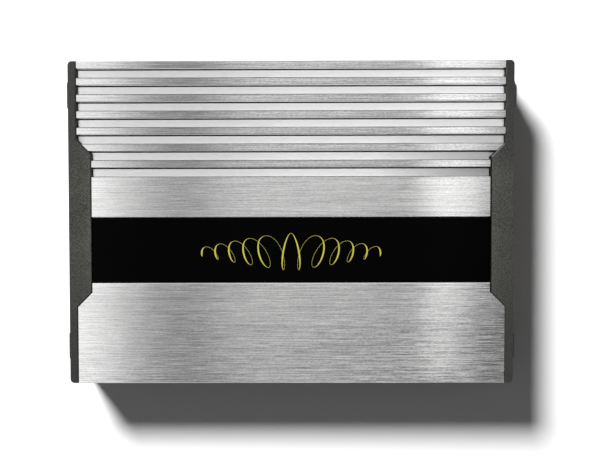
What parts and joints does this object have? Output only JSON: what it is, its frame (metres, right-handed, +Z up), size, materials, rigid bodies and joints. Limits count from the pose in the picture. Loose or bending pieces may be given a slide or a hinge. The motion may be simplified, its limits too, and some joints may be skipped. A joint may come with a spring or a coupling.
{
  "type": "car amplifier",
  "caption": "Low rectangular car audio amplifier: brushed ribbed aluminium housing with a glossy black strip, dark cast end caps with mounting ears, terminals, fuses, sockets and knobs.",
  "frame": {"origin": "centre of the base, on the surface that the amplifier stands on or is screwed to", "axes": "+X along the length towards the power and speaker terminals, +Y across the depth towards the ribbed back edge, +Z up out of the brushed top face"},
  "size_m": [0.3012, 0.203, 0.052],
  "materials": {
    "brushed_aluminium": "brushed along the length, satin between the ribs",
    "base_paint": "satin black powder coat",
    "cap_paint": "die cast with a fine sand-textured dark grey coat",
    "gloss_black": "high gloss",
    "panel_paint": "satin black paint",
    "circuit_board": "green solder mask",
    "black_plastic": "moulded, semi matt",
    "knob_plastic": "moulded, satin",
    "gold_plate": "gold plated, bright",
    "red_plastic": "moulded, glossy",
    "white_plastic": "moulded, glossy",
    "plated_steel": "zinc plated",
    "nickel_plate": "nickel plated, bright",
    "fuse_plastic": "translucent amber",
    "fuse_metal": "tin plated",
    "green_lens": "tinted translucent lens",
    "red_lens": "tinted translucent lens",
    "black_screw": "black oxide",
    "core_iron": "coated powdered iron",
    "copper_wire": "enamelled copper",
    "capacitor_sleeve": "shrunk sleeve",
    "black_epoxy": "moulded epoxy",
    "silicone_pad": "thin silicone sheet",
    "bar_aluminium": "sawn and deburred"
  },
  "bodies": {
    "chassis": {"base_plate": "base_paint", "base_screws": "black_screw", "board_screws": "plated_steel", "choke_core": "core_iron", "choke_winding": "copper_wire", "clamp_bars": "bar_aluminium", "clamp_screws": "plated_steel", "end_cap_screws": "black_screw", "fuse_holder": "black_plastic", "heatsink_housing": "brushed_aluminium", "input_panel": "panel_paint", "left_end_cap": "cap_paint", "main_board": "circuit_board", "nameplate": "gloss_black", "output_panel": "panel_paint", "output_transistors": "black_epoxy", "potentiometers": "plated_steel", "power_led": "green_lens", "power_terminal_plates": "gold_plate", "power_terminal_strip": "black_plastic", "preamp_chips": "black_epoxy", "protect_led": "red_lens", "rail_capacitors": "capacitor_sleeve", "rca_barrels": "gold_plate", "rca_housing": "black_plastic", "rca_inserts_red": "red_plastic", "rca_inserts_white": "white_plastic", "remote_socket": "black_plastic", "right_end_cap": "cap_paint", "slide_switches": "plated_steel", "speaker_terminal_plates": "gold_plate", "speaker_terminal_strip": "black_plastic", "supply_transistors": "black_epoxy", "thermal_pads": "silicone_pad", "toroid_core": "core_iron", "toroid_winding": "copper_wire"},
    "level_knob": {"level_knob": "knob_plastic"},
    "lowpass_knob": {"lowpass_knob": "knob_plastic"},
    "highpass_knob": {"highpass_knob": "knob_plastic"},
    "bass_knob": {"bass_knob": "knob_plastic"},
    "crossover_slider": {"crossover_slider": "black_plastic"},
    "input_slider": {"input_slider": "black_plastic"},
    "fuse_1": {"fuse_1_body": "fuse_plastic", "fuse_1_blades": "fuse_metal"},
    "fuse_2": {"fuse_2_body": "fuse_plastic", "fuse_2_blades": "fuse_metal"},
    "ground_washer": {"ground_washer": "nickel_plate"},
    "ground_screw": {"ground_screw": "nickel_plate"},
    "remote_turn_on_washer": {"remote_turn_on_washer": "nickel_plate"},
    "remote_turn_on_screw": {"remote_turn_on_screw": "nickel_plate"},
    "battery_washer": {"battery_washer": "nickel_plate"},
    "battery_screw": {"battery_screw": "nickel_plate"},
    "speaker_1_washer": {"speaker_1_washer": "nickel_plate"},
    "speaker_1_screw": {"speaker_1_screw": "nickel_plate"},
    "speaker_2_washer": {"speaker_2_washer": "nickel_plate"},
    "speaker_2_screw": {"speaker_2_screw": "nickel_plate"},
    "speaker_3_washer": {"speaker_3_washer": "nickel_plate"},
    "speaker_3_screw": {"speaker_3_screw": "nickel_plate"},
    "speaker_4_washer": {"speaker_4_washer": "nickel_plate"},
    "speaker_4_screw": {"speaker_4_screw": "nickel_plate"}
  },
  "joints": [
    {"name": "level_knob_turn", "type": "hinge", "parent": "chassis", "child": "level_knob", "pos_m": [-0.131, 0.029, 0.0245], "axis": [-1, 0, 0], "range_deg": [-135, 135]},
    {"name": "lowpass_knob_turn", "type": "hinge", "parent": "chassis", "child": "lowpass_knob", "pos_m": [-0.131, 0.012, 0.0245], "axis": [-1, 0, 0], "range_deg": [-135, 135]},
    {"name": "highpass_knob_turn", "type": "hinge", "parent": "chassis", "child": "highpass_knob", "pos_m": [-0.131, -0.005, 0.0245], "axis": [-1, 0, 0], "range_deg": [-135, 135]},
    {"name": "bass_knob_turn", "type": "hinge", "parent": "chassis", "child": "bass_knob", "pos_m": [-0.131, -0.022, 0.0245], "axis": [-1, 0, 0], "range_deg": [-135, 135]},
    {"name": "crossover_slider_travel", "type": "slide", "parent": "chassis", "child": "crossover_slider", "axis": [0, 1, 0], "range_m": [-0.002, 0.002]},
    {"name": "input_slider_travel", "type": "slide", "parent": "chassis", "child": "input_slider", "axis": [0, 1, 0], "range_m": [0, 0.004]},
    {"name": "fuse_1_pull", "type": "slide", "parent": "chassis", "child": "fuse_1", "axis": [1, 0, 0], "range_m": [0, 0.016]},
    {"name": "fuse_2_pull", "type": "slide", "parent": "chassis", "child": "fuse_2", "axis": [1, 0, 0], "range_m": [0, 0.016]},
    {"name": "ground_washer_lift", "type": "slide", "parent": "chassis", "child": "ground_washer", "axis": [1, 0, 0], "range_m": [0, 0.00245]},
    {"name": "ground_screw_turn", "type": "hinge", "parent": "ground_washer", "child": "ground_screw", "pos_m": [0.1335, -0.0575, 0.0245], "axis": [1, 0, 0], "range_deg": [0, 1260]},
    {"name": "remote_turn_on_washer_lift", "type": "slide", "parent": "chassis", "child": "remote_turn_on_washer", "axis": [1, 0, 0], "range_m": [0, 0.00245]},
    {"name": "remote_turn_on_screw_turn", "type": "hinge", "parent": "remote_turn_on_washer", "child": "remote_turn_on_screw", "pos_m": [0.1335, -0.0415, 0.0245], "axis": [1, 0, 0], "range_deg": [0, 1260]},
    {"name": "battery_washer_lift", "type": "slide", "parent": "chassis", "child": "battery_washer", "axis": [1, 0, 0], "range_m": [0, 0.00245]},
    {"name": "battery_screw_turn", "type": "hinge", "parent": "battery_washer", "child": "battery_screw", "pos_m": [0.1335, -0.0255, 0.0245], "axis": [1, 0, 0], "range_deg": [0, 1260]},
    {"name": "speaker_1_washer_lift", "type": "slide", "parent": "chassis", "child": "speaker_1_washer", "axis": [1, 0, 0], "range_m": [0, 0.00245]},
    {"name": "speaker_1_screw_turn", "type": "hinge", "parent": "speaker_1_washer", "child": "speaker_1_screw", "pos_m": [0.1335, 0.0295, 0.0245], "axis": [1, 0, 0], "range_deg": [0, 1764]},
    {"name": "speaker_2_washer_lift", "type": "slide", "parent": "chassis", "child": "speaker_2_washer", "axis": [1, 0, 0], "range_m": [0, 0.00245]},
    {"name": "speaker_2_screw_turn", "type": "hinge", "parent": "speaker_2_washer", "child": "speaker_2_screw", "pos_m": [0.1335, 0.041, 0.0245], "axis": [1, 0, 0], "range_deg": [0, 1764]},
    {"name": "speaker_3_washer_lift", "type": "slide", "parent": "chassis", "child": "speaker_3_washer", "axis": [1, 0, 0], "range_m": [0, 0.00245]},
    {"name": "speaker_3_screw_turn", "type": "hinge", "parent": "speaker_3_washer", "child": "speaker_3_screw", "pos_m": [0.1335, 0.0525, 0.0245], "axis": [1, 0, 0], "range_deg": [0, 1764]},
    {"name": "speaker_4_washer_lift", "type": "slide", "parent": "chassis", "child": "speaker_4_washer", "axis": [1, 0, 0], "range_m": [0, 0.00245]},
    {"name": "speaker_4_screw_turn", "type": "hinge", "parent": "speaker_4_washer", "child": "speaker_4_screw", "pos_m": [0.1335, 0.064, 0.0245], "axis": [1, 0, 0], "range_deg": [0, 1764]}
  ],
  "couplings": [
    {"joint": "ground_screw_turn", "follows": "ground_washer_lift", "rad_per_m": 8976},
    {"joint": "remote_turn_on_screw_turn", "follows": "remote_turn_on_washer_lift", "rad_per_m": 8976},
    {"joint": "battery_screw_turn", "follows": "battery_washer_lift", "rad_per_m": 8976},
    {"joint": "speaker_1_screw_turn", "follows": "speaker_1_washer_lift", "rad_per_m": 12566},
    {"joint": "speaker_2_screw_turn", "follows": "speaker_2_washer_lift", "rad_per_m": 12566},
    {"joint": "speaker_3_screw_turn", "follows": "speaker_3_washer_lift", "rad_per_m": 12566},
    {"joint": "speaker_4_screw_turn", "follows": "speaker_4_washer_lift", "rad_per_m": 12566}
  ]
}
